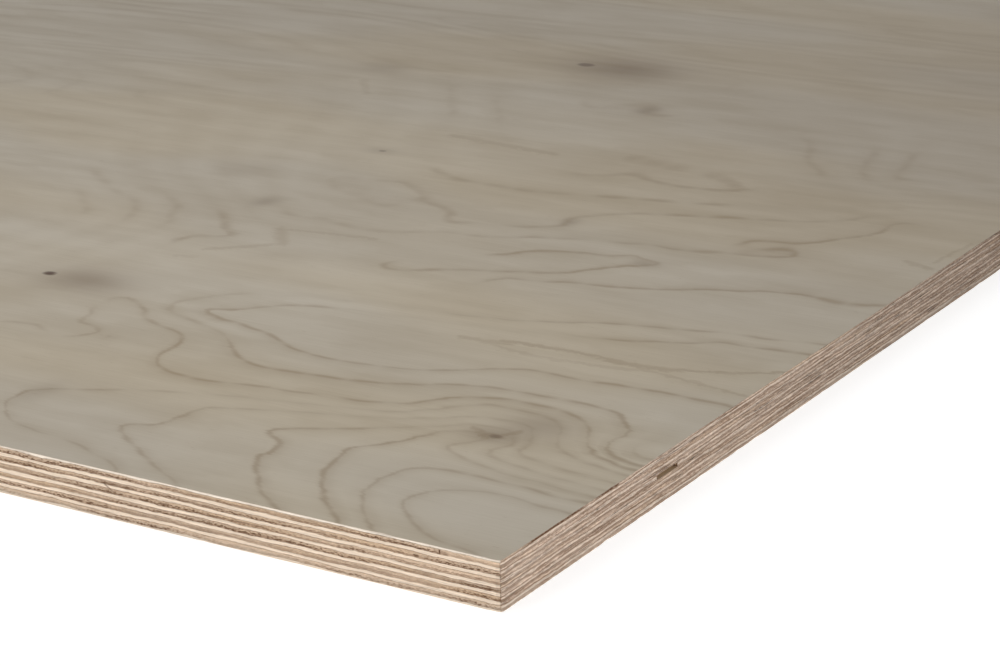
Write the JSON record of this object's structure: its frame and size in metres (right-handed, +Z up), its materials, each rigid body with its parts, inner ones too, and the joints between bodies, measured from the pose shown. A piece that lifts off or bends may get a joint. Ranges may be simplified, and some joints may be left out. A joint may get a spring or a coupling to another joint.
{
  "type": "plywood sheet",
  "caption": "Full flat sheet of birch plywood, cross-laid veneers showing as light and dark bands on its sawn edges, with pin knots and grain figure on its face.",
  "frame": {"origin": "middle of the back face, at the height of the surface that the sheet lies on", "axes": "+X along the sheet, which is the grain of both faces; +Y across it; +Z up, out of the face veneer"},
  "size_m": [2.44, 1.22, 0.018],
  "materials": {
    "face_birch": "sanded, unsealed",
    "back_birch": "sanded, unsealed",
    "long_grain_birch": "sawn edge, unsealed",
    "crossband_birch": "sawn edge, unsealed"
  },
  "bodies": {
    "root": {"face_veneer": "face_birch", "crossband_02": "crossband_birch", "long_ply_03": "long_grain_birch", "crossband_04": "crossband_birch", "long_ply_05": "long_grain_birch", "crossband_06": "crossband_birch", "long_ply_07": "long_grain_birch", "crossband_08": "crossband_birch", "long_ply_09": "long_grain_birch", "crossband_10": "crossband_birch", "long_ply_11": "long_grain_birch", "crossband_12": "crossband_birch", "back_veneer": "back_birch"}
  },
  "joints": []
}
